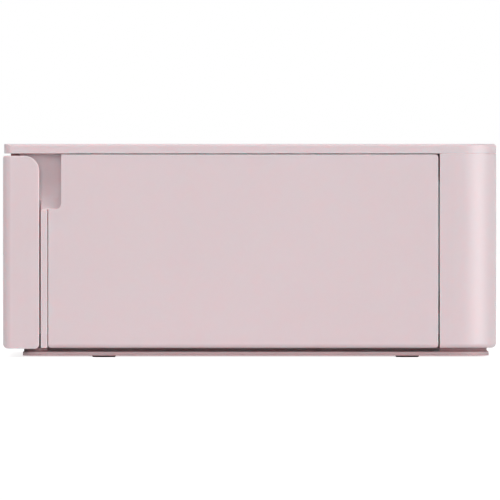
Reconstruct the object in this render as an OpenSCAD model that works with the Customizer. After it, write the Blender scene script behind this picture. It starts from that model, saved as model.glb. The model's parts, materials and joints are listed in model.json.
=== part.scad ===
// Compact photo printer: a low box with a fold-down front cover over its paper slot and a fold-down
// side door over its ink cassette. Millimetres, +Z up. The origin is the middle of the footprint on the
// table. The front faces -Y and the ink door is on the +X side.

/* [Overall] */
// Width, side to side
body_w = 182.2; // [178:0.2:190]
// Depth, front to back
body_d = 133; // [131:0.5:138]
// Height, from the table to the top of the lid
body_h = 57.6; // [57.6:0.1:62]
// Radius of the two rear corners, seen from above
rear_corner_r = 12; // [8:0.5:13]
// Radius of the two front corners, seen from above
front_corner_r = 2.2; // [0.8:0.1:2.4]

/* [Shell] */
// Thickness of the outer case's walls
wall = 2.2; // [1.8:0.1:2.6]
// Thickness of the lid plate
lid_h = 2.6; // [2:0.1:2.6]
// How far the lid's front edge stays behind the front cover
lid_setback = 0.3; // [0:0.1:0.8]
// Height of the rubber feet below the base
foot_h = 0.5; // [0.3:0.1:1]
// Radius of a rubber foot
foot_r = 3.15; // [2.5:0.05:4]
// Distance from the front to the front pair of feet
foot_front = 27.1; // [22:0.1:32]
// Distance from the front to the rear pair of feet
foot_rear = 109; // [100:0.5:112]
// Thickness of the base's outer ledge
ledge_h = 1.1; // [0.8:0.1:1.3]
// Thickness of the base's floor
floor_h = 2.1; // [1.8:0.1:2.3]
// How far the base stays inside the case at the front
base_front_in = 5.3; // [5.3:0.1:6]
// How far the base stays inside the case at the rear
base_rear_in = 2; // [1:0.1:2.5]
// How far the base stays inside the case at the sides
base_side_in = 1.6; // [1.6:0.1:2.2]
// Radius of the lower edge of the case and of the ink door
low_edge_r = 1.2; // [1.1:0.1:1.3]
// Radius of the lid's upper edge
lid_edge_r = 0.7; // [0.3:0.1:1]
// Height of the shadow gap between the base's ledge and the case
shadow_gap = 1; // [0.9:0.05:1.2]
// Radius of the base's two front corners, seen from above
base_corner_r = 4; // [1:0.5:5]
// Wall of the base's upstand, inside the case
upstand_t = 1.6; // [1.2:0.1:1.8]

/* [Front cover] */
// Depth of the front cover's side returns
cover_d = 9.75; // [9.4:0.05:10.2]
// Thickness of the front cover's face
cover_t = 1.8; // [1.6:0.1:1.8]
// Thickness of the front cover's side returns
return_t = 2; // [1.8:0.1:2.2]
// Gap between the front cover and the lid
cover_top_gap = 0.6; // [0.5:0.05:1.1]
// How much lower than the case the front cover hangs
cover_drop = 0.2; // [0:0.05:0.3]
// Radius of the returns' upper rear corner
cover_top_r = 4; // [3:0.1:5]
// Radius of the cover's lower corners, seen from the side
cover_low_r = 1.2; // [1:0.1:1.2]
// Radius of the cover's upper front edge
cover_edge_r = 0.6; // [0.3:0.1:0.8]
// Distance from the cover's face to its hinge line
cover_pin_in = 2.8; // [2.8:0.05:2.9]
// Height of the cover's hinge line above its lower edge
cover_pin_up = 2.2; // [2.1:0.05:2.25]
// Radius of the cover's hinge pins
cover_pin_r = 0.8; // [0.7:0.05:0.8]
// How far the cover's hinge pins stand out from its returns
cover_pin_len = 2.4; // [2:0.1:2.5]

/* [Ink door] */
// Width of the fixed strip between the front cover and the door
strip_w = 1.8; // [1.6:0.05:1.8]
// Top of the fixed strip above the table
strip_top = 40; // [36:0.5:44]
// Radius of the strip's upper corners, seen from the side
strip_r = 0.5; // [0.2:0.1:0.8]
// Gap between the cover and the strip, and between the door and the case
seam = 0.43; // [0.4:0.01:0.45]
// Gap between the strip and the door
strip_gap = 0.2; // [0.2:0.01:0.45]
// Depth of the case's side behind the ink door
rear_side_d = 15.31; // [14.8:0.01:16]
// Thickness of the ink door
door_t = 2.2; // [2:0.1:2.2]
// Gap between the door and the lid
door_top_gap = 0.25; // [0.2:0.05:0.6]
// Radius of the door's corners, seen from the side
door_r = 0.8; // [0.5:0.1:1.2]
// Width of the notch in the door's upper front corner
notch_w = 3.5; // [3:0.05:4]
// Radius in the notch's inner corner
notch_r = 1.6; // [1.2:0.1:2.8]
// Thickness of the door's edge round the notch
notch_edge_t = 0.95; // [0.8:0.05:0.95]
// Depth of the finger recess below the case's side
scoop_depth = 4.6; // [4.2:0.1:4.6]
// Height over which the finger recess reaches its depth
scoop_rise = 12; // [10:0.5:13]
// Distance from the door's outer face to its hinge line
door_pin_in = 2.8; // [2.8:0.05:2.9]
// Height of the door's hinge line above its lower edge
door_pin_up = 2.76; // [2.6:0.02:2.8]
// Radius of the door's hinge pins
door_pin_r = 1; // [0.8:0.05:1]
// How far the door's rear hinge pin reaches into the case
door_pin_len = 1.6; // [1.4:0.1:1.9]

/* [Paper path] */
// Width of the paper
paper_w = 100; // [98:0.5:106]
// Distance from the paper's right edge to the right-hand chassis plate
paper_right_room = 13; // [12.8:0.1:14]
// Distance from the paper's left edge to the left-hand chassis plate
paper_left_room = 15; // [14.5:0.1:15.5]
// Distance from the right-hand chassis plate to the ink door's outer face
chassis_in = 11.1; // [10.9:0.1:11.6]
// Width of the paper cassette slot beyond the paper
slot_margin = 18; // [14:0.5:18]
// Height of the paper cassette slot
slot_h = 24; // [20:0.5:24]
// Distance from the rear end of the paper cassette's guide to the heating line
guide_back = 34.5; // [34.5:0.5:40]
// Height of the paper path above the table
paper_z = 17.9; // [17.8:0.05:18]
// Radius of the platen roller
platen_r = 5.8; // [5:0.1:6]
// Radius of the capstan roller
capstan_r = 3.5; // [3:0.1:3.8]
// Radius of the pinch roller
pinch_r = 4; // [3.4:0.1:4.2]
// Radius of the roller shafts
shaft_r = 2; // [1.6:0.1:2]
// Radius of the pick-up roller
pickup_r = 5.5; // [5:0.1:5.5]
// Width of the pick-up roller
pickup_w = 14.5; // [12:0.5:16]
// Height of the pick-up arm's pivot above the table
pickup_pivot_z = 42; // [41.8:0.1:42.5]

/* [Ink cassette and head] */
// Distance from the rear face to the heating line
head_line_back = 51; // [50.9:0.1:52]
// Distance between the two ribbon spools
spool_pitch = 40; // [39.6:0.1:40.4]
// Height of the ribbon spools' axes above the table
spool_z = 31; // [30.8:0.1:31.2]
// Outer radius of the cassette's spool tubes
tube_r = 10.5; // [9.6:0.1:10.5]
// Wall of the cassette's spool tubes
tube_wall = 1.2; // [0.8:0.1:1.4]
// Radius of a ribbon roll
roll_r = 8; // [7:0.1:8.4]
// How far the released cassette stands out
cassette_pop = 6; // [4:0.5:6]
// Height of the head's pivot above the table
head_pivot_z = 43.5; // [43.3:0.1:43.7]
// Angle the head swings down to the platen
head_swing = 5; // [4:0.1:5]
// Width of the heat sink, front to back
sink_d = 12.5; // [10:0.5:13]
// Turn of the lift cam that lowers the head
cam_turn = 180; // [160:5:180]

/* [Drive] */
// Module of the gears
gear_module = 0.8; // [0.8:0.1:0.8]
// Teeth of the motor pinion
pinion_teeth = 10; // [10:1:12]
// Teeth of the reduction gear's large ring
large_teeth = 24; // [22:1:24]
// Teeth of the reduction gear's small ring
small_teeth = 10; // [9:1:11]
// Teeth of the capstan gear
capstan_teeth = 23; // [22:1:24]
// Teeth of the ribbon drive gear
ribbon_teeth = 39; // [38:1:40]
// Radius of the feed motor
motor_r = 11; // [9:0.5:11]
// Length of the feed motor
motor_len = 20; // [16:0.5:20]
// Side of the fan's square frame
fan_size = 25; // [20:1:25]
// Thickness of the fan
fan_t = 8; // [6:0.5:8]

/* [Screen and keys] */
// Width of the screen window
screen_w = 80; // [76:1:84]
// Depth of the screen window
screen_d = 60; // [56:1:64]
// Middle of the screen window, left of the printer's middle
screen_left = 28; // [26:0.5:30]
// How far the screen and the OK key lie in front of the printer's middle
panel_front = 10; // [8:0.5:12]
// Thickness of the screen's window
window_t = 1.2; // [1:0.1:1.4]
// Thickness of the screen's display panel
module_h = 4.2; // [3.6:0.1:4.4]
// Place of the OK key, right of the printer's middle
keys_right = 54; // [53:0.5:55]
// Distance from one arrow key to the OK key
arrow_pitch = 13; // [12:0.25:14]
// Radius of the arrow keys
arrow_r = 3.8; // [3:0.1:4.2]
// Radius of the OK and print keys
big_key_r = 4.6; // [4:0.1:5]
// Radius of the power, home, back and edit keys
small_key_r = 3.5; // [3:0.1:4]
// Width of the flange that keeps a key in the lid
key_flange = 1.1; // [0.9:0.1:1.2]
// Thickness of the keys' circuit board
board_t = 1; // [0.8:0.1:1.2]
// Travel of a key
key_travel = 0.4; // [0.3:0.05:0.5]

/* [Frames and screws] */
// Thickness of the front frame
frame_t = 2.2; // [1.8:0.1:2.3]
// Thickness of the ink bay's frame
bay_t = 2; // [1.6:0.1:2.1]
// Thickness of the chassis' sheet steel
plate_t = 1; // [0.8:0.05:1]
// Radius of a screw post
post_r = 3; // [2.6:0.1:3]
// Height of a screw post above the base's floor
post_h = 14; // [12:0.5:15]
// Radius of a screw's thread
screw_r = 1.25; // [1:0.05:1.3]
// Radius of a screw's head
screw_head_r = 2.4; // [2:0.1:2.5]

/* [Fits] */
// Gap between fixed pieces that stand close together
near_gap = 0.3; // [0.2:0.05:0.4]
// Running gap between a shaft and its bearing
run_gap = 0.05; // [0.03:0.01:0.08]
// Gap between parts that move past each other
move_gap = 0.35; // [0.3:0.05:0.4]
// Gap round a key in the lid
key_gap = 0.25; // [0.2:0.05:0.35]

/* [Hidden] */
$fn = 64;
// How far a cut runs past the face it starts at
over = 1;
// How far the pieces of one solid reach into each other
weld = 0.1;
// Gap round a fixed piece that sits in a hole
hole_gap = 0.05;

pink = [0.87, 0.79, 0.81];
pink_deep = [0.80, 0.70, 0.72];
steel = [0.72, 0.73, 0.75];
black = [0.12, 0.12, 0.13];
white = [0.9, 0.9, 0.88];
board_green = [0.1, 0.35, 0.2];

// Outer faces and levels
side_x = body_w / 2;
front_y = -body_d / 2;
rear_y = body_d / 2;
lid_z = body_h - lid_h;
ledge_z = foot_h + ledge_h;
floor_z = foot_h + floor_h;
case_z = ledge_z + shadow_gap;
cover_z = case_z - cover_drop;
cover_top = lid_z - cover_top_gap;
door_top = lid_z - door_top_gap;

// Places along the side, from the front: cover, strip, door, case
case_y = front_y + cover_d + seam;
strip_end = case_y + strip_w;
door_y = strip_end + strip_gap;
corner_y = rear_y - rear_side_d;
door_end = corner_y - seam;
door_len = door_end - door_y;
notch_y = door_y + notch_w;

// The block that holds the finger recess, behind the notch
scoop_wall = 2;
scoop_end = notch_y + 2.2;

// Hinge lines, as [y, z] for the cover and [x, z] for the door, and the eyes that hold their pins
cover_pin = [front_y + cover_pin_in, cover_z + cover_pin_up];
door_pin = [side_x - door_pin_in, case_z + door_pin_up];
head_line_y = rear_y - head_line_back;
ear_wall = 0.8;
eye_wall = 1.3;
eye_len = 3;
eye_bore = 2.2;

// The base's upstand, inside the case
upstand_side = side_x - base_side_in - 4.5;
upstand_front = front_y + base_front_in + 0.3;
upstand_rear = rear_y - wall - move_gap;
upstand_top = door_pin[1] + 0.7;
upstand_front_r = 1;
upstand_rear_r = 9;

// Feet, set into the base
foot_sink = 0.4;
feet_at = [for (s = [-1, 1], y = [front_y + foot_front, front_y + foot_rear]) [s * (side_x - 16), y]];

// The front frame, behind the front cover
frame_y = front_y + cover_t + 0.5;
frame_x = side_x - return_t - 0.4;
frame_z = cover_pin[1] + 0.3;
frame_top = lid_z - 1.4;
frame_back = frame_y + frame_t;
flange_back = 6;

// The lid's lip, in front of the frame's upper edge
lip_t = 2.2;
lip_gap = 0.2;
lip_in = 0.5;
lip_y = frame_y - 0.2;

// The ink bay's frame, behind the door, and its window for the ink cassette
bay_x = side_x - door_t - 0.5;
bay_inner_x = bay_x - bay_t;
bay_z = upstand_top;
bay_end = door_end - 0.2;
bay_window = [
    head_line_y - spool_pitch / 2 - tube_r - 1.5, head_line_y + spool_pitch / 2 + tube_r + 1.5,
    spool_z - tube_r - 1, spool_z + tube_r + 1.5
];
bay_window_r = 3;

// Door hinge cheeks, and the room they turn in
door_cheek = 1.2;
door_cheek_w = 2.6;
cheek_room = 0.4;
cheek_room_w = 3.5;

// Door catch, and its slot in the bay's frame
catch_y = door_y + 11.2;
catch_w = 4;
catch_z = 48;
catch_t = 1.4;
catch_room = 1.2;

// Release lever: a tab in a slot of the bay's frame, on a plate behind it
lever_y = bay_window[0] - 6;
lever_w = 3.2;
lever_low = 24;
lever_high = 34;
lever_t = 1.4;
lever_gap = 0.4;
lever_flange = 1.3;
lever_rise = 2.5;
tab_h = 5;
tab_out = 0.2;

// Places of the chassis plates
right_x = side_x - chassis_in;
paper_x = right_x - paper_right_room - paper_w / 2;
left_x = paper_x - paper_w / 2 - paper_left_room;

// Screw posts, as [x, y], and their screws
front_posts = [for (s = [-1, 1]) [s * (upstand_side - 4), upstand_front + 4.9]];
rear_posts = [for (s = [-1, 1]) [s * (right_x - 4.5), rear_y - wall - post_r - 0.4]];
posts = concat(front_posts, rear_posts);
post_rib = 2;
screw_gap = 0.15;
screw_seat = 1;
screw_head_h = 0.9;
cross_l = 2.6;
cross_w = 0.6;
cross_h = 0.6;
screw_reach = 8;

// Paper cassette slot and guide, and the paper slot at the rear
slot_left = paper_x - (paper_w + slot_margin) / 2;
slot_right = paper_x + (paper_w + slot_margin) / 2;
slot_z = floor_z + 3.2;
slot_top = slot_z + slot_h;
slot_corners = [1, 1, 2, 2];
guide_y = frame_y + frame_t;
guide_end = head_line_y - guide_back;
rear_slot = [paper_z - 3.3, paper_z + 3.1];
rear_slot_half = paper_w / 2 + 2;

// Chassis plates
chassis_front = guide_end + 1;
chassis_rear = rear_y - 6.5;
chassis_top = lid_z - 7.2;
chassis_foot_w = 8;
tie_z = chassis_top;
tie_front_d = 18;
tie_rear_d = 6;
tie_wall_z = rear_slot[1] + 5;

// Spools, platen, capstan and pinch, as [y, z]
take_up_at = [head_line_y + spool_pitch / 2, spool_z];
supply_at = [head_line_y - spool_pitch / 2, spool_z];
platen_at = [head_line_y, paper_z - platen_r];
function pitch_r(teeth) = teeth * gear_module / 2;
capstan_z = paper_z - capstan_r;
ribbon_reach = pitch_r(ribbon_teeth) + pitch_r(capstan_teeth);
capstan_at = [
    take_up_at[0] + sqrt(pow(ribbon_reach, 2) - pow(spool_z - capstan_z, 2)),
    capstan_z
];
pinch_at = [capstan_at[0], paper_z + 0.3 + pinch_r];
head_pivot = [capstan_at[0], head_pivot_z];
path_end = capstan_at[0] - capstan_r - 2;

// Bearings and small shafts
bearing_r = shaft_r + 2;
capstan_bearing_r = bearing_r - 0.4;
bearing_flange = 0.5;
bearing_flange_t = 0.6;
stud_r = 1.5;
cam_shaft_r = 1.5;
drive_shaft_r = 2.4;
pickup_pin_r = 1.2;

// Reduction gear and motor
reduction_reach = pitch_r(small_teeth) + pitch_r(capstan_teeth);
reduction_z = floor_z + pitch_r(large_teeth) + 1.3;
reduction_at = [
    capstan_at[0] - sqrt(pow(reduction_reach, 2) - pow(capstan_z - reduction_z, 2)),
    reduction_z
];
motor_reach = pitch_r(large_teeth) + pitch_r(pinion_teeth);
motor_z = floor_z + motor_r + 2.4;
motor_at = [
    reduction_at[0] - sqrt(pow(motor_reach, 2) - pow(motor_z - reduction_z, 2)),
    motor_z
];
motor_boss_r = 3.2;

// Gear planes, as [low x, width], from the left plate outwards
ribbon_plane = [left_x - 3.5, 2];
small_plane = [left_x - 6, 2];
large_plane = [left_x - 8.5, 2.2];
gear_plate_x = large_plane[0] - plate_t - 1;
gear_plate_top = capstan_z + 18;
spacer_r = 2;
spacers = [[motor_at[0] - motor_r + 4, floor_z + 3], [chassis_rear - 3, gear_plate_top - spacer_r - 0.4]];

// Cassette, along X
cassette_left = left_x + 6;
cassette_right = right_x - 0.5;
end_t = 2;
hub_r = 4;
roll_in = 3.5;
film_z = paper_z + 0.35;
film_t = 0.2;

// Blade on the ribbon drive's shaft that turns the take-up spool
blade = [1.2, 5.8];
blade_gap = 0.3;
blade_len = 3.6;

// Head
strip_z = paper_z + 4.7;
strip_t = 1.6;
strip_y = head_line_y - 2;
strip_d = 8;
sink_top = strip_z + 18.4;
head_left = cassette_left + end_t + cassette_pop + 1;
head_right = cassette_right - end_t - 4.5;
head_screws = [for (x = [head_left + 14, head_right - 14]) [x, strip_y]];
head_screw_r = 1.1;
bracket_z = head_pivot_z + 2.5;
bracket_t = 1.2;
bracket_back = head_pivot[0] + 3;
arm_x = left_x + 2;
arm_end_x = right_x - 3;
arm_z = bracket_z - 2;

// Lift cam: its radius falls steadily with the turn, so the head comes down at a steady rate
cam_at = [head_line_y - 13.5, bracket_z - 10];
cam_w = 3;
cam_x = left_x + 1.4;
cam_drop = (head_pivot[0] - cam_at[0]) * tan(head_swing);
cam_top_r = arm_z - cam_at[1] - 0.7;
cam_hub_r = 4.5;
function cam_r(a) = a <= cam_turn
    ? cam_top_r - cam_drop * a / cam_turn
    : cam_top_r - cam_drop + cam_drop * (a - cam_turn) / (360 - cam_turn);

// Pick-up arm, turning on the front cross shaft
pickup_pivot = [guide_end + 5, pickup_pivot_z];
pickup_at = [pickup_pivot[0] - 13, slot_top + pickup_r + 0.7];
cheek_t = 1.6;
cheek_r = 3.5;

// Screen, in its recess in the lid, and the parts below it
screen_at = [-screen_left, -panel_front];
screen_r = 3;
screen_rim = 3.5;
window_sink = 0.2;
glass_gap = 0.1;
module_in = 1.5;
lid_boss_r = 2.2;
lcd_frame_t = 0.8;
lcd_frame_out = 4;
lcd_frame_in = 12;
bracket_screws = [
    for (sx = [-1, 1], sy = [-1, 1]) screen_at + [sx * (screen_w / 2 + 1.5), sy * (screen_d / 2 - 6)]
];

// Keys and their board
keys_at = [keys_right, -panel_front];
key_top = body_h - 0.1;
key_flange_h = 0.8;
stem_r = 1.5;
stem_gap = 0.1;
board_z = lid_z - 5.2;
switch_h = 0.8;
switch_w = 4;
board_low = keys_at - [26, 38];
board_high = keys_at + [27, 48];
board_post_in = 3;
board_posts = [
    for (x = [board_low[0] + board_post_in, board_high[0] - board_post_in])
    for (y = [board_low[1] + board_post_in, board_high[1] - board_post_in]) [x, y]
];

// Each key's name, middle and radius
KEYS = [
    ["power_key", keys_at + [21, 38], small_key_r],
    ["home_key", keys_at + [-20, 24], small_key_r],
    ["back_key", keys_at + [-20, -24], small_key_r],
    ["edit_key", keys_at + [20, -24], small_key_r],
    ["print_key", keys_at + [0, -31], big_key_r],
    ["ok_key", keys_at, big_key_r],
    ["up_key", keys_at + [0, arrow_pitch], arrow_r],
    ["down_key", keys_at - [0, arrow_pitch], arrow_r],
    ["left_key", keys_at - [arrow_pitch, 0], arrow_r],
    ["right_key", keys_at + [arrow_pitch, 0], arrow_r]
];

// Main board, at the left, on its posts
main_low = [-upstand_side + upstand_t + 0.4, front_y + 17.5];
main_high = [left_x - 2, main_low[1] + 57];
main_z = floor_z + 3.4;
main_t = 1.6;
main_top = main_z + main_t;
main_posts = [for (x = [main_low[0] + 5, main_high[0] - 5], y = [main_low[1] + 8, main_high[1] - 5]) [x, y]];
main_post_r = 2.2;
main_hole_r = 0.8;

// Chips and connectors, each as [x, y, width, depth, height], and capacitors, each as [x, y, radius, height],
// from the board's low corner
CHIPS = [[8, 22, 12, 12, 1.4], [22, 26, 8, 10, 1.2], [8, 40, 6, 8, 4], [17, 42, 5, 5, 2], [27, 42, 5, 12, 5]];
CAPACITORS = [[13, 52, 2.5, 5], [20, 52, 2.5, 5], [27, 38, 1.6, 4]];

// Sockets: memory card, USB and power inlet
card_x = -76;
card_w = 26;
card_h = 3.2;
card_len = 26;
card_sheet = 0.5;
usb_x = -side_x + wall + near_gap;
usb_y = -32;
usb_w = 9;
usb_h = 3.3;
usb_len = 9;
usb_depth = 7;
usb_sheet = 0.5;
inlet_x = -71.5;
inlet_w = 10;
inlet_z = floor_z + 5.4;
inlet_at = [inlet_x + inlet_w / 2, inlet_z + inlet_w / 2];
inlet_len = 13;
inlet_depth = 10;
inlet_bore_r = 2.75;
inlet_pin_r = 0.8;
inlet_leg_t = 1.5;
inlet_hole_r = 4;

// Fan and its vents in the case
fan_at = [rear_y - 34.5, floor_z + 33.5];
fan_x = -side_x + wall + near_gap;
fan_bore_r = fan_size / 2 - 1;
fan_corner_r = 2;
fan_hub_r = 5;
fan_spider_t = 1.2;
fan_spider_w = 1.6;
fan_shaft_r = 0.8;
fan_blades = 7;
fan_clip = 2;
vent_w = 1.6;
vent_pitch = 3.2;
vent_half = fan_bore_r - 1;

// ---- Drawing helpers ----

// A box from its low corner to its high corner
module box(low, high) {
    translate(low) cube(high - low);
}

// A profile drawn in Y and Z, run along X from x
module along_x(x, len) {
    translate([x, 0, 0]) rotate([90, 0, 90]) linear_extrude(len) children();
}

// A profile drawn in X and Z, run along Y from y
module along_y(y, len) {
    translate([0, y + len, 0]) rotate([90, 0, 0]) linear_extrude(len) children();
}

// A round bar along X, at = [y, z]
module rod_x(x0, x1, at, r) {
    translate([x0, at[0], at[1]]) rotate([0, 90, 0]) cylinder(h = x1 - x0, r = r);
}

// A round bar along Y, at = [x, z]
module rod_y(y0, y1, at, r) {
    translate([at[0], y1, at[1]]) rotate([90, 0, 0]) cylinder(h = y1 - y0, r = r);
}

// A round bar along Z, at = [x, y]
module rod_z(z0, z1, at, r) {
    translate([at[0], at[1], z0]) cylinder(h = z1 - z0, r = r);
}

// What a rounded corner takes off the corner point c; s points out of the shape
module corner_cut(c, s, r) {
    if (r > 0) difference() {
        translate([c[0] - (s[0] > 0 ? r : over), c[1] - (s[1] > 0 ? r : over)]) square(r + over);
        translate(c - r * s) circle(r);
    }
}

// A rectangle with a radius at each corner, counter-clockwise from the low corner
module rounded(low, high, r) {
    difference() {
        translate(low) square(high - low);
        corner_cut(low, [-1, -1], r[0]);
        corner_cut([high[0], low[1]], [1, -1], r[1]);
        corner_cut(high, [1, 1], r[2]);
        corner_cut([low[0], high[1]], [-1, 1], r[3]);
    }
}

// The printer's outline from above, drawn in by inset
module plan(inset) {
    front_r = max(front_corner_r - inset, 0);
    back_r = max(rear_corner_r - inset, 0);
    rounded(
        [-side_x + inset, front_y + inset],
        [side_x - inset, rear_y - inset],
        [front_r, front_r, back_r, back_r]
    );
}

// A toothed wheel with straight-sided teeth; a tooth is centred on the angle phase
module gear_outline(teeth, phase) {
    root_r = pitch_r(teeth) - 1.15 * gear_module;
    tip_r = pitch_r(teeth) + 0.85 * gear_module;
    step = 360 / teeth;
    polygon([
        for (i = [0 : teeth - 1])
        for (p = [[root_r, -0.27], [tip_r, -0.1], [tip_r, 0.1], [root_r, 0.27]])
        let (a = phase + (i + p[1]) * step)
        p[0] * [cos(a), sin(a)]
    ]);
}

module gear(plane, at, teeth, phase) {
    along_x(plane[0], plane[1]) translate(at) gear_outline(teeth, phase);
}

// Direction from one axis to another, and the phase at which a wheel meshes with its neighbour
function heading(from, to) = atan2(to[1] - from[1], to[0] - from[0]);
function mesh_phase(towards, phase, teeth, other_teeth) =
    towards + 180 - 360 / other_teeth * (0.5 - (towards - phase) * teeth / 360);

// ---- Shell ----

module base_outline() {
    rear_r = rear_corner_r - base_rear_in;
    rounded(
        [-side_x + base_side_in, front_y + base_front_in],
        [side_x - base_side_in, rear_y - base_rear_in],
        [base_corner_r, base_corner_r, rear_r, rear_r]
    );
}

module upstand_outline(inset) {
    rear_r = upstand_rear_r - inset;
    rounded(
        [-upstand_side + inset, upstand_front + inset],
        [upstand_side - inset, upstand_rear - inset],
        [upstand_front_r, upstand_front_r, rear_r, rear_r]
    );
}

// Step between the ledge and the case's wall; the door needs the room below it to swing
module step_outline() {
    inset = wall + move_gap;
    difference() {
        rounded(
            [-side_x + inset, upstand_front],
            [side_x - inset, upstand_rear],
            [base_corner_r, base_corner_r, rear_corner_r - inset, rear_corner_r - inset]
        );
        translate([upstand_side - upstand_t, strip_end]) square([body_w, corner_y - strip_end]);
    }
}

module base_tray() {
    color(pink_deep) difference() {
        union() {
            translate([0, 0, foot_h]) linear_extrude(ledge_h) base_outline();
            translate([0, 0, foot_h]) linear_extrude(case_z - foot_h) step_outline();
            translate([0, 0, foot_h]) linear_extrude(floor_h) upstand_outline(0);
            translate([0, 0, foot_h]) linear_extrude(upstand_top - foot_h) difference() {
                upstand_outline(0);
                upstand_outline(upstand_t);
            }
            for (p = main_posts) rod_z(floor_z - weld, main_z, p, main_post_r);
        }
        for (p = posts) {
            rod_z(floor_z, upstand_top + over, p, post_r + near_gap);
            rod_z(foot_h - over, floor_z + over, p, screw_r + screw_gap);
            rod_z(foot_h - over, foot_h + screw_seat, p, screw_head_r + 0.2);
        }
        for (p = feet_at) rod_z(foot_h - over, foot_h + foot_sink, p, foot_r + hole_gap);
    }
}

module feet() {
    color(black) for (p = feet_at) rod_z(0, foot_h + foot_sink, p, foot_r);
}

module base_screws() {
    seat = foot_h + screw_seat;
    head_z = seat - screw_head_h;
    color(steel) difference() {
        for (p = posts) {
            rod_z(head_z, seat, p, screw_head_r);
            rod_z(seat - weld, floor_z + screw_reach, p, screw_r);
        }
        // cross recess for the driver
        for (p = posts, a = [0, 90]) translate([p[0], p[1], head_z]) rotate(a)
            box([-cross_l / 2, -cross_w / 2, -over], [cross_l / 2, cross_w / 2, cross_h]);
    }
}

// Screw posts, each with the rib that ties it to the wall at wall_y
module ribbed_posts(places, wall_y) {
    for (p = places) {
        rod_z(floor_z, floor_z + post_h, p, post_r);
        box([p[0] - post_rib / 2, min(p[1], wall_y), upstand_top + near_gap],
            [p[0] + post_rib / 2, max(p[1], wall_y), floor_z + post_h]);
    }
}

module post_bores(places) {
    for (p = places) rod_z(floor_z - over, floor_z + screw_reach + over, p, screw_r + hole_gap);
}

// What a rounded edge takes off the outline at a height; up is 1 for an upper edge, -1 for a lower one
module edge_cut(level, up, r) {
    rear_run = side_x - rear_corner_r;
    side_run = rear_y - rear_corner_r;
    along_x(-rear_run, 2 * rear_run) corner_cut([rear_y, level], [1, up], r);
    for (s = [-1, 1]) {
        along_y(front_y, side_run - front_y) corner_cut([s * side_x, level], [s, up], r);
        translate([s * rear_run, side_run, 0]) rotate(s > 0 ? 0 : 90)
            rotate_extrude(angle = 90) corner_cut([rear_corner_r, level], [1, up], r);
    }
}

// The outline of the case's wall: the left side, the rear and the right rear corner
module case_outline() {
    difference() {
        plan(0);
        plan(wall);
        translate([-side_x - over, front_y - over]) square([body_w + 2 * over, case_y - front_y + over]);
        translate([0, front_y - over]) square([side_x + over, corner_y - front_y + over]);
    }
}

module outer_case() {
    color(pink) difference() {
        union() {
            translate([0, 0, case_z]) linear_extrude(lid_z - case_z) case_outline();
            ribbed_posts(rear_posts, rear_y - wall + weld);
            // eye for the door's rear hinge pin
            rod_y(corner_y, corner_y + eye_len, door_pin, door_pin_r + eye_wall);
        }
        rod_y(corner_y - over, corner_y + eye_bore, door_pin, door_pin_r + run_gap);
        edge_cut(case_z, -1, low_edge_r);
        post_bores(rear_posts);
        // paper slot at the rear
        box([paper_x - rear_slot_half, rear_y - wall - over, rear_slot[0]],
            [paper_x + rear_slot_half, rear_y + over, rear_slot[1]]);
        // fan vents
        for (i = [-3 : 3])
            box([-side_x - over, fan_at[0] + i * vent_pitch - vent_w / 2, fan_at[1] - vent_half],
                [-side_x + wall + over, fan_at[0] + i * vent_pitch + vent_w / 2, fan_at[1] + vent_half]);
        // power inlet and USB socket
        rod_y(rear_y - wall - over, rear_y + over, inlet_at, inlet_hole_r);
        box([-side_x - over, usb_y - near_gap, main_top - near_gap],
            [-side_x + wall + over, usb_y + usb_w + near_gap, main_top + usb_h + near_gap]);
    }
}

module lid_outline() {
    rounded(
        [-side_x, front_y + lid_setback],
        [side_x, rear_y],
        [front_corner_r, front_corner_r, rear_corner_r, rear_corner_r]
    );
}

// A rectangle centred on the screen, grown by margin on every side
module screen_outline(margin, r) {
    half = [screen_w / 2 + margin, screen_d / 2 + margin];
    rounded(screen_at - half, screen_at + half, [r, r, r, r]);
}

module top_cover() {
    color(pink) difference() {
        union() {
            translate([0, 0, lid_z]) linear_extrude(lid_h) lid_outline();
            // lip behind the front cover's upper edge
            box([-frame_x + lip_in, lip_y, frame_top + lip_gap],
                [frame_x - lip_in, lip_y + lip_t, lid_z + weld]);
            // bosses for the screen's bracket and the key board
            for (p = bracket_screws) rod_z(lid_z - module_h, lid_z + weld, p, lid_boss_r);
            for (p = board_posts) rod_z(board_z + board_t, lid_z + weld, p, lid_boss_r);
        }
        edge_cut(body_h, 1, lid_edge_r);
        translate([0, 0, body_h - window_sink - window_t]) linear_extrude(lid_h)
            screen_outline(glass_gap, screen_r);
        translate([0, 0, lid_z - over]) linear_extrude(lid_h + over) screen_outline(-screen_rim, 1);
        for (k = KEYS) rod_z(lid_z - over, body_h + over, k[1], k[2] + key_gap);
    }
}

module front_frame() {
    color(pink) difference() {
        union() {
            box([-frame_x, frame_y, frame_z], [frame_x, frame_y + frame_t, frame_top]);
            // side flange, back to the case and up to the lid
            box([-frame_x, frame_back - weld, frame_z], [-frame_x + wall, case_y + flange_back, frame_top]);
            box([-frame_x, frame_back, frame_z], [-frame_x + wall, case_y + flange_back, lid_z]);
            // hinge ears
            for (x = [-frame_x, frame_x - wall]) rod_x(x, x + wall, cover_pin, cover_pin_r + ear_wall);
            ribbed_posts(front_posts, frame_y + weld);
        }
        post_bores(front_posts);
        along_y(frame_y - over, frame_t + 2 * over)
            rounded([slot_left, slot_z], [slot_right, slot_top], slot_corners);
        // memory card slot
        box([card_x, frame_y - over, main_top + near_gap],
            [card_x + card_w, frame_y + frame_t + over, main_top + card_h]);
        rod_x(-frame_x - over, frame_x + over, cover_pin, cover_pin_r + run_gap);
    }
}

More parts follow.
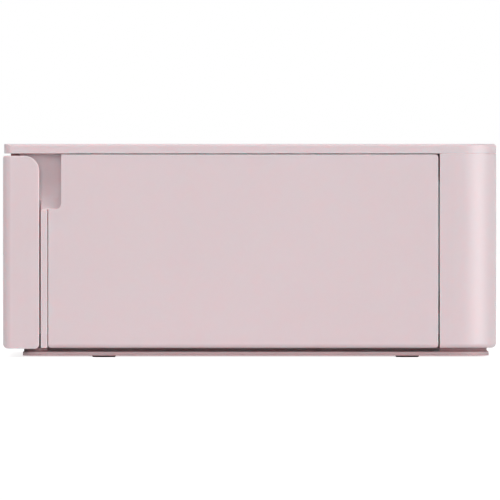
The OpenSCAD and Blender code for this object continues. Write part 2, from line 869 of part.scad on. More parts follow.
// Wall behind the door, with the strip beside it and the finger recess at the top of the strip
module bay_frame() {
    // the recess starts shallow at the top of the strip, and runs on behind the door's edge and the cover
    scoop_from = notch_edge_t + move_gap;
    scoop_in = scoop_depth - scoop_from;
    scoop_r = (pow(scoop_in, 2) + pow(scoop_rise, 2)) / (2 * scoop_in);
    scoop_at = [side_x - scoop_depth + scoop_r, strip_top + scoop_rise];
    scoop_start = case_y - seam - cover_top_r;
    scoop_side = 0.8;
    block_x = side_x - scoop_depth - scoop_wall;
    shelf_t = 1.6;
    color(pink) difference() {
        union() {
            difference() {
                union() {
                    box([bay_inner_x, frame_back, bay_z], [bay_x, bay_end, frame_top + 1]);
                    box([block_x, frame_back, strip_top - scoop_wall], [bay_x, scoop_end, lid_z]);
                    box([block_x, case_y, strip_top - scoop_wall], [side_x - scoop_from, scoop_end, lid_z]);
                }
                rod_y(scoop_start, scoop_end - scoop_side, scoop_at, scoop_r);
            }
            // shelf that stands on the base's upstand
            box([upstand_side - upstand_t, front_posts[1][1] + post_r + near_gap, bay_z],
                [bay_inner_x + weld, bay_end, bay_z + shelf_t]);
            // strip between the front cover and the door
            along_x(bay_inner_x, side_x - bay_inner_x)
                rounded([case_y, case_z], [strip_end, strip_top], [0, 0, strip_r, strip_r]);
        }
        // room for the door's hinge cheeks, and the front pin's bore
        rod_y(strip_end, door_y + cheek_room_w, door_pin, door_pin_r + door_cheek + cheek_room);
        rod_y(door_end - cheek_room_w, door_end + over, door_pin, door_pin_r + door_cheek + cheek_room);
        rod_y(case_y - over, door_y + over, door_pin, door_pin_r + run_gap);
        bay_window_cut(bay_inner_x, bay_t);
        // slots for the release lever's tab and the door's catch
        box([bay_inner_x - over, lever_y - lever_gap, lever_low - lever_gap],
            [bay_x + over, lever_y + lever_w + lever_gap, lever_high + lever_gap]);
        box([bay_inner_x - over, catch_y - catch_room, catch_z - catch_room],
            [bay_x + over, catch_y + catch_w + catch_room, catch_z + catch_t + catch_room]);
    }
}

// The opening for the ink cassette, through a wall that starts at x
module bay_window_cut(x, t) {
    r = bay_window_r;
    along_x(x - over, t + 2 * over)
        rounded([bay_window[0], bay_window[2]], [bay_window[1], bay_window[3]], [r, r, r, r]);
}

// ---- Covers ----

module cover_side() {
    rounded(
        [front_y, cover_z],
        [front_y + cover_d, cover_top],
        [cover_low_r, cover_low_r, cover_top_r, cover_edge_r]
    );
}

module front_cover() {
    ear_room = cover_pin_r + ear_wall + near_gap;
    inner_x = side_x - return_t;
    color(pink) {
        difference() {
            intersection() {
                along_x(-side_x, body_w) cover_side();
                translate([0, 0, cover_z - over]) linear_extrude(body_h) plan(0);
            }
            box([-inner_x, front_y + cover_t, 0], [inner_x, 0, body_h]);
            // room for the frame's ears
            rod_x(-inner_x, -frame_x + wall + move_gap, cover_pin, ear_room);
            rod_x(frame_x - wall - move_gap, inner_x, cover_pin, ear_room);
        }
        rod_x(-inner_x - over, -inner_x + cover_pin_len, cover_pin, cover_pin_r);
        rod_x(inner_x - cover_pin_len, inner_x + over, cover_pin, cover_pin_r);
    }
}

module door_outline() {
    difference() {
        rounded([door_y, case_z], [door_end, door_top], [door_r, door_r, door_r, door_r]);
        rounded([door_y - over, strip_top], [notch_y, door_top + over], [0, notch_r, 0, 0]);
    }
}

module ink_door() {
    inner_x = side_x - door_t;
    thinned = 0.4;
    rim = 6;
    rim_r = 2;
    color(pink) {
        difference() {
            intersection() {
                along_x(inner_x, door_t) door_outline();
                along_y(door_y, door_len)
                    rounded([inner_x, case_z], [side_x, door_top], [0, low_edge_r, 0, 0]);
            }
            // the edge round the notch is thin, and the recess runs on behind it
            box([inner_x - over, door_y - over, strip_top - scoop_wall - move_gap],
                [side_x - notch_edge_t, scoop_end + move_gap, door_top + over]);
            // the panel is thinner inside its rim
            along_x(inner_x - over, over + thinned) rounded(
                [door_y + rim, case_z + rim], [door_end - rim, strip_top - rim], [rim_r, rim_r, rim_r, rim_r]
            );
        }
        for (y = [door_y, door_end - door_cheek_w])
            rod_y(y, y + door_cheek_w, door_pin, door_pin_r + door_cheek);
        rod_y(case_y + near_gap, door_y + over, door_pin, door_pin_r);
        rod_y(door_end - over, corner_y + door_pin_len, door_pin, door_pin_r);
        // catch that snaps into the bay's frame
        box([bay_inner_x - over, catch_y, catch_z], [inner_x + weld, catch_y + catch_w, catch_z + catch_t]);
    }
}

// A slide behind the bay's frame with a thumb tab that comes out through the frame's slot
module release_lever() {
    plate_x = bay_inner_x - near_gap - lever_t;
    color(white) {
        box([plate_x, lever_y - lever_flange, lever_low + over],
            [plate_x + lever_t, lever_y + lever_w + lever_flange, lever_high + lever_rise]);
        box([plate_x + lever_t - weld, lever_y, lever_high - tab_h],
            [bay_x + tab_out, lever_y + lever_w, lever_high]);
    }
}

// ---- Screen and keys ----

module lcd_window() {
    color(black) translate([0, 0, body_h - window_sink - window_t])
        linear_extrude(window_t) screen_outline(0, screen_r - glass_gap);
}

module lcd_module() {
    color([0.5, 0.52, 0.55]) translate([0, 0, lid_z - module_h])
        linear_extrude(module_h) screen_outline(-module_in, 1);
}

// Sheet frame that holds the screen up
module lcd_bracket() {
    color(steel) translate([0, 0, lid_z - module_h - lcd_frame_t]) linear_extrude(lcd_frame_t) difference() {
        screen_outline(lcd_frame_out, 2);
        screen_outline(-lcd_frame_in, 2);
    }
}

// A cap in the lid's hole, a flange that keeps it in, and a stem down to its switch
module key(k) {
    flange_top = lid_z - near_gap;
    flange_low = flange_top - key_flange_h;
    stem_low = board_z + board_t + switch_h + key_travel + stem_gap;
    color(pink_deep) {
        rod_z(flange_low, key_top, k[1], k[2]);
        rod_z(flange_low, flange_top, k[1], k[2] + key_flange);
        rod_z(stem_low, flange_low + weld, k[1], stem_r);
    }
}

module key_board() {
    top = board_z + board_t;
    color(board_green) {
        box([board_low[0], board_low[1], board_z], [board_high[0], board_high[1], top]);
        for (k = KEYS)
            translate([k[1][0] - switch_w / 2, k[1][1] - switch_w / 2, top - weld])
                cube([switch_w, switch_w, switch_h + weld]);
    }
}

// ---- Electronics ----

module main_board() {
    color(board_green) difference() {
        box([main_low[0], main_low[1], main_z], [main_high[0], main_high[1], main_top]);
        for (p = main_posts) rod_z(main_z - over, main_top + over, p, main_hole_r);
    }
}

module board_parts() {
    color(black) translate([main_low[0], main_low[1], 0]) {
        for (c = CHIPS) translate([c[0], c[1], main_top]) cube([c[2], c[3], c[4]]);
        for (c = CAPACITORS) rod_z(main_top, main_top + c[3], [c[0], c[1]], c[2]);
    }
}

module card_slot() {
    front = guide_y + 0.2;
    back = guide_y + card_len;
    color(steel) difference() {
        box([card_x - 1, front, main_top], [card_x + card_w + 1, back + 2, main_top + card_h + card_sheet]);
        box([card_x, front - over, main_top + card_sheet], [card_x + card_w, back, main_top + card_h]);
    }
}

module usb_port() {
    color(steel) difference() {
        box([usb_x, usb_y, main_top], [usb_x + usb_len, usb_y + usb_w, main_top + usb_h]);
        box([usb_x - over, usb_y + usb_sheet, main_top + usb_sheet],
            [usb_x + usb_depth, usb_y + usb_w - usb_sheet, main_top + usb_h - usb_sheet]);
    }
}

module dc_inlet() {
    back = rear_y - wall - near_gap;
    front = back - inlet_len;
    color(black) {
        difference() {
            box([inlet_x, front, inlet_z], [inlet_x + inlet_w, back, inlet_z + inlet_w]);
            rod_y(back - inlet_depth, back + over, inlet_at, inlet_bore_r);
        }
        rod_y(back - inlet_depth - over, back - 1, inlet_at, inlet_pin_r);
        // legs down to the base's floor
        for (y = [front + 1, back - 4])
            box([inlet_x + 1, y, floor_z], [inlet_x + inlet_w - 1, y + inlet_leg_t, inlet_z + weld]);
    }
}

// ---- Chassis ----

// One side plate: its outline, less its shaft holes and whatever it is given to leave out
module side_plate(x, holes) {
    color(steel) difference() {
        box([x, chassis_front, floor_z], [x + plate_t, chassis_rear, chassis_top]);
        for (h = holes) rod_x(x - over, x + plate_t + over, h[0], h[1]);
        children();
    }
}

// The flange that a side plate stands on, between the paper's shelf and the rear screw posts
module chassis_foot(x) {
    box([x, path_end + near_gap, floor_z],
        [x + chassis_foot_w, rear_posts[0][1] - post_r - near_gap, floor_z + plate_t]);
}

// Holes in both side plates, each as [place, radius]
roller_holes = [
    [platen_at, bearing_r + hole_gap], [capstan_at, capstan_bearing_r + hole_gap], [pinch_at, shaft_r + run_gap]
];
shaft_holes = [[head_pivot, shaft_r + run_gap], [pickup_pivot, shaft_r + run_gap]];
drive_holes = [
    [take_up_at, drive_shaft_r + run_gap], [cam_at, cam_shaft_r + run_gap], [reduction_at, stud_r + run_gap]
];

module chassis_left() {
    side_plate(left_x, concat(roller_holes, shaft_holes, drive_holes));
    color(steel) chassis_foot(left_x);
}

module chassis_right() {
    side_plate(right_x, concat(roller_holes, shaft_holes)) bay_window_cut(right_x, plate_t);
    color(steel) chassis_foot(right_x + plate_t - chassis_foot_w);
}

// Sheet that ties the side plates together: a front strip, a rear strip and a rear wall
module chassis_tie() {
    right = right_x + plate_t;
    color(steel) {
        box([left_x, chassis_front, tie_z], [right, chassis_front + tie_front_d, tie_z + plate_t]);
        box([left_x + plate_t, chassis_rear - plate_t, tie_wall_z], [right_x, chassis_rear, chassis_top]);
        box([left_x, chassis_rear - tie_rear_d, tie_z], [right, chassis_rear, tie_z + plate_t]);
    }
}

module gear_plate() {
    x = gear_plate_x;
    color(steel) {
        difference() {
            box([x, motor_at[0] - motor_r, floor_z], [x + plate_t, chassis_rear, gear_plate_top]);
            rod_x(x - over, x + plate_t + over, motor_at, motor_boss_r + 0.2);
            rod_x(x - over, x + plate_t + over, capstan_at, shaft_r + run_gap);
        }
        // stud for the reduction gear, and spacers to the left plate
        rod_x(x + plate_t - weld, left_x + plate_t - near_gap, reduction_at, stud_r);
        for (at = spacers) rod_x(x + plate_t - weld, left_x, at, spacer_r);
    }
}

module cross_shafts() {
    color(steel) for (at = [head_pivot, pickup_pivot])
        rod_x(left_x - 1, right_x + plate_t + 1, at, shaft_r);
}

// A ring pressed into the side plate at x, with its flange on the outer side; side is 1 to the right
module bearing(x, at, outer_r, side) {
    flange_x = side > 0 ? x + plate_t : x - bearing_flange_t;
    difference() {
        union() {
            rod_x(x, x + plate_t, at, outer_r);
            rod_x(flange_x, flange_x + bearing_flange_t, at, outer_r + bearing_flange);
        }
        rod_x(x - over, x + plate_t + over, at, shaft_r + run_gap);
    }
}

module roller_bearings() {
    color(white) for (b = [[platen_at, bearing_r], [capstan_at, capstan_bearing_r]]) {
        bearing(left_x, b[0], b[1], -1);
        bearing(right_x, b[0], b[1], 1);
    }
}

// ---- Drive ----

module feed_motor() {
    rear = gear_plate_x - motor_len;
    color([0.6, 0.61, 0.63]) {
        rod_x(rear, gear_plate_x, motor_at, motor_r);
        // bosses round the shaft at both ends
        rod_x(gear_plate_x - weld, gear_plate_x + 0.8, motor_at, motor_boss_r);
        rod_x(rear - 1.5, rear + weld, motor_at, motor_boss_r);
    }
}

module motor_pinion() {
    phase = mesh_phase(heading(reduction_at, motor_at), 0, large_teeth, pinion_teeth);
    color([0.8, 0.68, 0.3]) gear(large_plane, motor_at, pinion_teeth, phase);
}

module reduction_gear() {
    neck_r = pitch_r(small_teeth) - 1.2 * gear_module;
    color(white) difference() {
        union() {
            gear(large_plane, reduction_at, large_teeth, 0);
            gear(small_plane, reduction_at, small_teeth, 0);
            rod_x(large_plane[0], small_plane[0] + over, reduction_at, neck_r);
        }
        rod_x(large_plane[0] - over, left_x, reduction_at, stud_r + run_gap);
    }
}

// One wide gear: the reduction gear drives its outer half, and its inner half drives the ribbon
capstan_phase = mesh_phase(heading(reduction_at, capstan_at), 0, small_teeth, capstan_teeth);

module capstan_gear() {
    width = ribbon_plane[0] + ribbon_plane[1] - small_plane[0];
    color(white) difference() {
        gear([small_plane[0], width], capstan_at, capstan_teeth, capstan_phase);
        rod_x(small_plane[0] - over, left_x, capstan_at, shaft_r);
    }
}

module capstan_roller() {
    color(steel) {
        rod_x(gear_plate_x - 0.5, right_x + plate_t + 1.5, capstan_at, shaft_r);
        rod_x(cassette_left, right_x - 4, capstan_at, capstan_r);
    }
}

module ribbon_drive() {
    phase = mesh_phase(heading(capstan_at, take_up_at), capstan_phase, capstan_teeth, ribbon_teeth);
    blade_x = cassette_left + 0.2;
    color(white) {
        gear(ribbon_plane, take_up_at, ribbon_teeth, phase);
        rod_x(ribbon_plane[0] + over, blade_x + blade_len, take_up_at, drive_shaft_r);
        box([blade_x, take_up_at[0] - blade[0] / 2, take_up_at[1] - blade[1] / 2],
            [blade_x + blade_len, take_up_at[0] + blade[0] / 2, take_up_at[1] + blade[1] / 2]);
    }
}

// Four short rollers on one shaft
module pinch_roller() {
    count = 4;
    pitch = (head_right - head_left) / count;
    pinch_w = 18;
    color([0.25, 0.25, 0.26]) {
        rod_x(left_x - 0.5, right_x + plate_t + 0.5, pinch_at, shaft_r);
        for (i = [0 : count - 1]) {
            middle = head_left + (i + 0.5) * pitch;
            rod_x(middle - pinch_w / 2, middle + pinch_w / 2, pinch_at, pinch_r);
        }
    }
}

module platen_roller() {
    color([0.2, 0.2, 0.21]) difference() {
        rod_x(head_left - 1, head_right + 1, platen_at, platen_r);
        rod_x(head_left - 1 - over, head_right + 1 + over, platen_at, shaft_r);
    }
}

module platen_shaft() {
    color(steel) rod_x(left_x - 1, right_x + plate_t + 1, platen_at, shaft_r);
}

// ---- Paper handling ----

// A roof over the paper cassette, on a rail at each side
module paper_guide() {
    rail_t = 1.5;
    roof_top = slot_top + 1.2;
    window_half = pickup_w / 2 + 4;
    color(black) difference() {
        box([slot_left - rail_t, guide_y + near_gap, floor_z], [slot_right + rail_t, guide_end, roof_top]);
        box([slot_left, guide_y - over, floor_z - over], [slot_right, guide_end + over, slot_top]);
        // window for the pick-up roller
        box([paper_x - window_half, pickup_at[0] - pickup_r - 2, slot_top - over],
            [paper_x + window_half, guide_end + over, roof_top + over]);
        // the front screw posts and the base's upstand stand in the rails' way
        box([-side_x, guide_y, floor_z - over],
            [side_x, upstand_front + upstand_t + near_gap, upstand_top + near_gap]);
    }
}

// The ramp up from the cassette and the shelf under the path, on ribs that stand on a sole
module path_guide() {
    skin = 1.5;
    ramp_t = 1;
    rib_t = 1.5;
    ribs = 4;
    sole = floor_z + 1.2;
    left = paper_x - paper_w / 2 - 4;
    width = paper_w + 8;
    shelf = paper_z - 1.6;
    front = guide_end + near_gap;
    ramp_end = platen_at[0] - platen_r - 6.5;
    platen_front = platen_at[0] - platen_r - 0.5;
    platen_back = platen_at[0] + platen_r + 0.5;
    color(black) {
        along_x(left, width) polygon([
            [front, sole], [front, slot_z + 2], [ramp_end, shelf], [platen_front, shelf],
            [platen_front, shelf - skin], [ramp_end + 0.5, shelf - skin],
            [front + skin, slot_z + ramp_t], [front + skin, sole]
        ]);
        box([left, platen_back, shelf - skin], [left + width, path_end + skin, shelf]);
        for (i = [0 : ribs]) {
            x = left + i * (width - rib_t) / ribs;
            box([x, platen_back, sole - weld], [x + rib_t, path_end, shelf - skin + weld]);
            along_x(x, rib_t) polygon([
                [front + skin - weld, sole - weld], [front + skin - weld, slot_z + ramp_t + weld],
                [ramp_end + 0.5, shelf - skin + weld], [platen_front - weld, shelf - skin + weld],
                [platen_front - weld, sole - weld]
            ]);
        }
        box([left, front, floor_z], [left + width, path_end, sole]);
    }
}

// Unit vector square to the line between two points
function tangent(line) = let (d = line[1] - line[0]) [-d[1], d[0]] / norm(d);

module pickup_arm() {
    side = cheek_r * tangent([pickup_pivot, pickup_at]);
    inner = pickup_w / 2 + move_gap;
    outer = inner + cheek_t;
    color(white) difference() {
        union() {
            for (x = [paper_x - outer, paper_x + inner]) {
                rod_x(x, x + cheek_t, pickup_pivot, cheek_r);
                rod_x(x, x + cheek_t, pickup_at, cheek_r);
                along_x(x, cheek_t)
                    polygon([pickup_pivot + side, pickup_at + side, pickup_at - side, pickup_pivot - side]);
            }
            // tube on the cross shaft
            rod_x(paper_x - inner, paper_x + inner, pickup_pivot, cheek_r);
        }
        rod_x(paper_x - outer - over, paper_x + outer + over, pickup_pivot, shaft_r + run_gap);
        rod_x(paper_x - outer - over, paper_x + outer + over, pickup_at, pickup_pin_r + run_gap);
    }
}

module pickup_roller() {
    half = pickup_w / 2;
    pin_out = 2.2;
    color([0.2, 0.2, 0.21]) {
        rod_x(paper_x - half, paper_x + half, pickup_at, pickup_r);
        rod_x(paper_x - half - pin_out, paper_x + half + pin_out, pickup_at, pickup_pin_r);
    }
}

// ---- Thermal head ----

// A plate over the head, with an arm at each end down to its pivot and one forward to the lift cam
module head_bracket() {
    plate_front = strip_y - sink_d / 2;
    plate_top = bracket_z + bracket_t;
    arms_front = take_up_at[0] - 6;
    arm_d = 12;
    color(steel) difference() {
        union() {
            box([head_left - 4, plate_front, bracket_z], [head_right + 1, bracket_back, plate_top]);
            box([arm_x, arms_front, bracket_z], [arm_end_x + bracket_t, bracket_back, plate_top]);
            box([arm_x, cam_at[0] - 4, arm_z], [arm_x + bracket_t, bracket_back, plate_top]);
            box([arm_x, plate_front, bracket_z], [head_left, plate_front + 10, plate_top]);
            box([arm_end_x, head_pivot[0] - arm_d, arm_z], [arm_end_x + bracket_t, bracket_back, plate_top]);
            for (x = [arm_x, arm_end_x]) rod_x(x, x + bracket_t, head_pivot, shaft_r + 1.5);
        }
        rod_x(arm_x - over, arm_end_x + bracket_t + over, head_pivot, shaft_r + run_gap);
        for (p = head_screws) rod_z(bracket_z - over, plate_top + over, p, head_screw_r + run_gap);
    }
}

module head_heatsink() {
    fin_t = 1.1;
    fin_pitch = 2.7;
    post_r = 3;
    base_low = strip_z + strip_t;
    base_top = base_low + 3;
    half = sink_d / 2;
    color([0.75, 0.76, 0.78]) {
        box([head_left, strip_y - half, base_low], [head_right, strip_y + half, base_top]);
        for (y = [-half : fin_pitch : half - fin_t])
            box([head_left, strip_y + y, base_top - weld], [head_right, strip_y + y + fin_t, sink_top]);
        // posts that hang the head on its bracket
        for (p = head_screws) {
            rod_z(base_top - weld, sink_top, p, post_r);
            rod_z(sink_top - weld, bracket_z + bracket_t, p, head_screw_r);
        }
    }
}

module head_strip() {
    half = strip_d / 2;
    color([0.3, 0.3, 0.32])
        box([head_left + 2, strip_y - half, strip_z], [head_right - 2, strip_y + half, strip_z + strip_t]);
}

module head_springs() {
    color(steel) for (p = head_screws) difference() {
        rod_z(sink_top, bracket_z, p, head_screw_r + 1.5);
        rod_z(sink_top - over, bracket_z + over, p, head_screw_r + 0.6);
    }
}

module head_cam() {
    color(white) {
        along_x(cam_x, cam_w) translate(cam_at) polygon([
            for (a = [0 : 10 : 350]) cam_r(a) * [cos(90 + a), sin(90 + a)]
        ]);
        // shaft through the side plate, and a hub outside it
        rod_x(left_x - 2, cam_x + over, cam_at, cam_shaft_r);
        rod_x(left_x - 2.5, left_x - 0.8, cam_at, cam_hub_r);
    }
}

// ---- Ink cassette ----

// A spool tube: a ring that is open where the film leaves it; towards is 1 to the rear, -1 to the front
module tube_outline(at, towards) {
    wide = 2 * tube_r;
    difference() {
        translate(at) circle(tube_r);
        translate(at) circle(tube_r - tube_wall);
        translate(at) polygon([
            [0, 0], [towards * wide, -0.4 * wide], [towards * wide, -wide], [-towards * 1.5, -wide]
        ]);
    }
}

module cassette_shell() {
    web = [spool_z - 8, spool_z + 2];
    grip = [head_line_y - 7, head_line_y + 7];
    color(white) {
        along_x(cassette_left, cassette_right - cassette_left) {
            tube_outline(supply_at, 1);
            tube_outline(take_up_at, -1);
        }
        for (x = [cassette_left, cassette_right - end_t]) difference() {
            union() {
                for (at = [supply_at, take_up_at]) rod_x(x, x + end_t, at, tube_r - weld);
                box([x, supply_at[0], web[0]], [x + end_t, take_up_at[0], web[1]]);
            }
            for (at = [supply_at, take_up_at]) rod_x(x - over, x + end_t + over, at, hub_r + 0.08);
        }
        box([cassette_right - weld, grip[0], spool_z - 4], [cassette_right + 3, grip[1], spool_z - 1]);
    }
}

// A hub with its roll of film; a driven one has a cross slot for the ribbon drive's shaft and blade
module spool(at, driven) {
    slot = blade / 2 + [blade_gap, blade_gap];
    slot_end = cassette_left + 6;
    color([0.25, 0.2, 0.3]) difference() {
        union() {
            rod_x(cassette_left, cassette_right, at, hub_r);
            rod_x(cassette_left + roll_in, cassette_right - roll_in, at, roll_r);
        }
        if (driven) {
            rod_x(cassette_left - over, slot_end, at, drive_shaft_r + blade_gap);
            box([cassette_left - over, at[0] - slot[0], at[1] - slot[1]],
                [slot_end, at[0] + slot[0], at[1] + slot[1]]);
        }
    }
}

module supply_spool() spool(supply_at, false);
module take_up_spool() spool(take_up_at, true);

// Where a line from the point p meets the circle round c at a tangent; turn is 1 or -1
function tangent_point(p, c, r, turn) =
    let (d = p - c, a = atan2(d[1], d[0]) + turn * acos(r / norm(d)))
    c + r * [cos(a), sin(a)];

// The film: down from the supply roll, level under the head, up to the take-up roll
module ribbon_film() {
    reach = 8.2;
    film_r = roll_r + 0.3;
    front = [head_line_y - reach, film_z];
    back = [head_line_y + reach, film_z];
    from = tangent_point(front, supply_at, film_r, -1);
    to = tangent_point(back, take_up_at, film_r, 1);
    lift = [0, film_t];
    color([0.35, 0.2, 0.35]) along_x(head_left - 1, head_right - head_left + 2)
        polygon([from, front, back, to, to + lift, back + lift, front + lift, from + lift]);
}

// ---- Fan ----

module fan_housing() {
    half = fan_size / 2;
    back = fan_x + fan_t;
    spider_x = back - fan_spider_t;
    corner = fan_corner_r;
    color(black) {
        difference() {
            along_x(fan_x, fan_t)
                rounded(fan_at - [half, half], fan_at + [half, half], [corner, corner, corner, corner]);
            rod_x(fan_x - over, back + over, fan_at, fan_bore_r);
        }
        // spider that carries the rotor on its shaft
        rod_x(spider_x, back, fan_at, fan_hub_r);
        for (a = [0, 90]) along_x(spider_x, fan_spider_t) translate(fan_at) rotate(a)
            square([fan_size - 1, fan_spider_w], center = true);
        rod_x(fan_x + 2, back, fan_at, fan_shaft_r);
        // clips to the case's wall
        for (s = [-1, 1]) along_x(fan_x - near_gap, 1)
            translate(fan_at + [s * (half - fan_clip), half - fan_clip / 2]) square(fan_clip, center = true);
    }
}

module fan_rotor() {
    hub_end = fan_x + fan_t - fan_spider_t - 0.4;
    tip_r = fan_bore_r - 0.5;
    root_r = fan_hub_r - 2;
    color([0.2, 0.2, 0.22]) difference() {
        union() {
            rod_x(fan_x + 1, hub_end, fan_at, fan_hub_r);
            for (i = [1 : fan_blades])
                along_x(fan_x + 1.4, hub_end - fan_x - 1.8) translate(fan_at) rotate(i * 360 / fan_blades)
                    polygon([[root_r, -0.6], [tip_r, 1.4], [tip_r - 0.1, 2.4], [root_r, 0.6]]);
        }
        rod_x(fan_x + 1.8, fan_x + fan_t, fan_at, fan_shaft_r + run_gap);
    }
}

base_tray();
outer_case();
top_cover();
front_frame();
bay_frame();
feet();
base_screws();
front_cover();
ink_door();
release_lever();
lcd_window();
lcd_module();
lcd_bracket();
key_board();
key(KEYS[0]);  // power_key
key(KEYS[1]);  // home_key
key(KEYS[2]);  // back_key
key(KEYS[3]);  // edit_key
key(KEYS[4]);  // print_key
key(KEYS[5]);  // ok_key
key(KEYS[6]);  // up_key
key(KEYS[7]);  // down_key
key(KEYS[8]);  // left_key
key(KEYS[9]);  // right_key
main_board();
board_parts();
card_slot();
usb_port();
dc_inlet();
chassis_left();
chassis_right();
chassis_tie();
gear_plate();
cross_shafts();
roller_bearings();
feed_motor();
motor_pinion();
reduction_gear();
capstan_gear();
capstan_roller();
pinch_roller();
platen_roller();
platen_shaft();
ribbon_drive();
paper_guide();
path_guide();
pickup_arm();
pickup_roller();
head_bracket();
head_heatsink();
head_strip();
head_springs();
head_cam();
cassette_shell();
supply_spool();
take_up_spool();
ribbon_film();
fan_housing();
fan_rotor();
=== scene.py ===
import json
import math

import bmesh
import bpy
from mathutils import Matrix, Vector


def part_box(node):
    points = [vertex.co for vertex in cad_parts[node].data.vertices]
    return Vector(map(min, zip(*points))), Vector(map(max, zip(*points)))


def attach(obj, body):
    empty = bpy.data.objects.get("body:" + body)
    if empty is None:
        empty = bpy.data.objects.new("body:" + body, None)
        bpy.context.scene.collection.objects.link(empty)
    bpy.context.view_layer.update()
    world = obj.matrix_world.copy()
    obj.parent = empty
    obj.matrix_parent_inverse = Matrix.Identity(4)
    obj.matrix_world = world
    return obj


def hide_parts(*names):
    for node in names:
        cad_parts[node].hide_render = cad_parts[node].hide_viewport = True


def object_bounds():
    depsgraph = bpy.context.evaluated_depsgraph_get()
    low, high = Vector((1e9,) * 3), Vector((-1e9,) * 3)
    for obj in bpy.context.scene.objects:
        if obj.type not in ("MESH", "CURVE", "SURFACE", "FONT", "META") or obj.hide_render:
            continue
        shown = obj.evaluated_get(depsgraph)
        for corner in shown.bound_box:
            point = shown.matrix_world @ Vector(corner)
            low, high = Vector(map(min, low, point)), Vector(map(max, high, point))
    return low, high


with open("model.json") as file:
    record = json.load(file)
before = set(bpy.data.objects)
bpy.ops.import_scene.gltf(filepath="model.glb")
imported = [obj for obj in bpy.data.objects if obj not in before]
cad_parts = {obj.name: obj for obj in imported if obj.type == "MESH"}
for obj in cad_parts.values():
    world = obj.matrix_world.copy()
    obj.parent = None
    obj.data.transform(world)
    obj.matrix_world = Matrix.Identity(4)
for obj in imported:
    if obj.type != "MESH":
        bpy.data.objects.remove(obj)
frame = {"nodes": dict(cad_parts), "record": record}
cad_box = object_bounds()

# A compact photo printer seen square on from its ink door's side.
# Metres, as the frame: +Z up, the front faces -Y, the ink door is on the +X side.

MM = 0.001
SIDE_X = cad_box[1].x
TOP_Z = cad_box[1].z
WINDOW_LOW, WINDOW_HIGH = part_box("lcd_window")

# ---- Camera ----

SENSOR = 36.0
VIEW_WIDTH = 134.7 * MM  # what the frame holds across, at the plane of the ink door
VIEW_DISTANCE = 6.0  # from the ink door to the camera
VIEW_LEVEL = 54.8 * MM  # eye level, in line with the gap under the lid
VIEW_MIDDLE = Vector((SIDE_X, 0.05 * MM, 29.0 * MM))


def make_camera():
    """A long lens far away, so that the side shows without perspective."""
    camera = bpy.data.objects.new("camera", bpy.data.cameras.new("camera"))
    bpy.context.scene.collection.objects.link(camera)
    camera.data.sensor_width = SENSOR
    camera.data.lens = SENSOR * VIEW_DISTANCE / VIEW_WIDTH
    camera.data.clip_end = 4 * VIEW_DISTANCE
    camera.location = (SIDE_X + VIEW_DISTANCE, VIEW_MIDDLE.y, VIEW_LEVEL)
    aim = VIEW_MIDDLE - camera.location
    camera.rotation_euler = aim.to_track_quat("-Z", "Y").to_euler()
    bpy.context.scene.camera = camera


make_camera()
bpy.context.scene.view_settings.view_transform = "Standard"

# ---- Shader helpers ----


def linear(colour):
    """The linear colour of an sRGB hex value such as "DDCCCF"."""
    parts = [int(colour[i:i + 2], 16) / 255 for i in (0, 2, 4)]
    parts = [c / 12.92 if c <= 0.04045 else ((c + 0.055) / 1.055) ** 2.4 for c in parts]
    return (*parts, 1.0)


def add(tree, kind, sockets=None, out=0, **settings):
    """Adds one shader node and gives one of its outputs; a socket takes a value or an output."""
    made = tree.nodes.new("ShaderNode" + kind)
    for name, value in settings.items():
        setattr(made, name, value)
    for name, value in (sockets or {}).items():
        if isinstance(value, bpy.types.NodeSocket):
            tree.links.new(value, made.inputs[name])
        else:
            made.inputs[name].default_value = value
    return made.outputs[out]


def new_material(name, values=None):
    """A material, its nodes and its shader, with that shader's constant values set."""
    material = bpy.data.materials.new(name)
    material.use_nodes = True
    tree = material.node_tree
    shader = tree.nodes["Principled BSDF"]
    for socket, value in (values or {}).items():
        shader.inputs[socket].default_value = value
    return material, tree, shader


def feed(tree, shader, outputs):
    """Links each output to the shader's socket of that name."""
    for socket, output in outputs.items():
        tree.links.new(output, shader.inputs[socket])


# ---- Materials ----
# Noise lies mostly between 0.3 and 0.7, so a range is taken from there. A mix of colours has its factor in
# socket 0, its colours in sockets 6 and 7, and its result in output 2.

NOISE = {"From Min": 0.3, "From Max": 0.7}
COLOURS = {"out": 2, "data_type": "RGBA"}
SPARK_GRAIN = 0.3 * MM  # the real texture is about 0.05 mm: drawn coarser, so that it shows
MOULD_FLOW = 45 * MM  # how far a change of shade reaches in a moulding
SEAM_REACH = 1.5 * MM  # points that see little beyond this distance lie in seams, whose colour is painted darker and redder: painted shade
SEAM_SHADE_RANGE = {"From Min": 0.2, "From Max": 0.5, "To Min": 1.0, "To Max": 0.0}


def moulded_abs(name, colour, light, deep, rough):
    """ABS moulded in a spark-eroded tool: a fine, even matt skin, with painted shade in its seams: a deeper,
    redder colour where little light gets in.
    """
    material, tree, shader = new_material(name, {
        "IOR": 1.53, "Subsurface Weight": 0.6, "Subsurface Scale": 1.6 * MM,
        "Subsurface Radius": (1.0, 0.25, 0.27),
    })
    place = add(tree, "TexCoord", out="Object")
    flow = add(tree, "TexNoise", {"Vector": place, "Scale": 1 / MOULD_FLOW})
    spark = add(tree, "TexNoise", {"Vector": place, "Scale": 1 / SPARK_GRAIN, "Detail": 3.0})
    shade = add(tree, "Mix", {0: flow, 6: linear(colour), 7: linear(light)}, **COLOURS)
    # painted shade: the less open a point, the more its colour turns to the deep colour of seams
    opening = add(tree, "AmbientOcclusion", {"Distance": SEAM_REACH}, out="AO", samples=8)
    seam_shade_mask = add(tree, "MapRange", {"Value": opening, **SEAM_SHADE_RANGE})
    feed(tree, shader, {
        "Base Color": add(tree, "Mix", {0: seam_shade_mask, 6: shade, 7: linear(deep)}, **COLOURS),
        "Roughness": add(tree, "MapRange", {
            "Value": spark, **NOISE, "To Min": rough - 0.04, "To Max": rough + 0.05,
        }),
        "Normal": add(tree, "Bump", {"Height": spark, "Distance": 0.006 * MM}),
    })
    return material


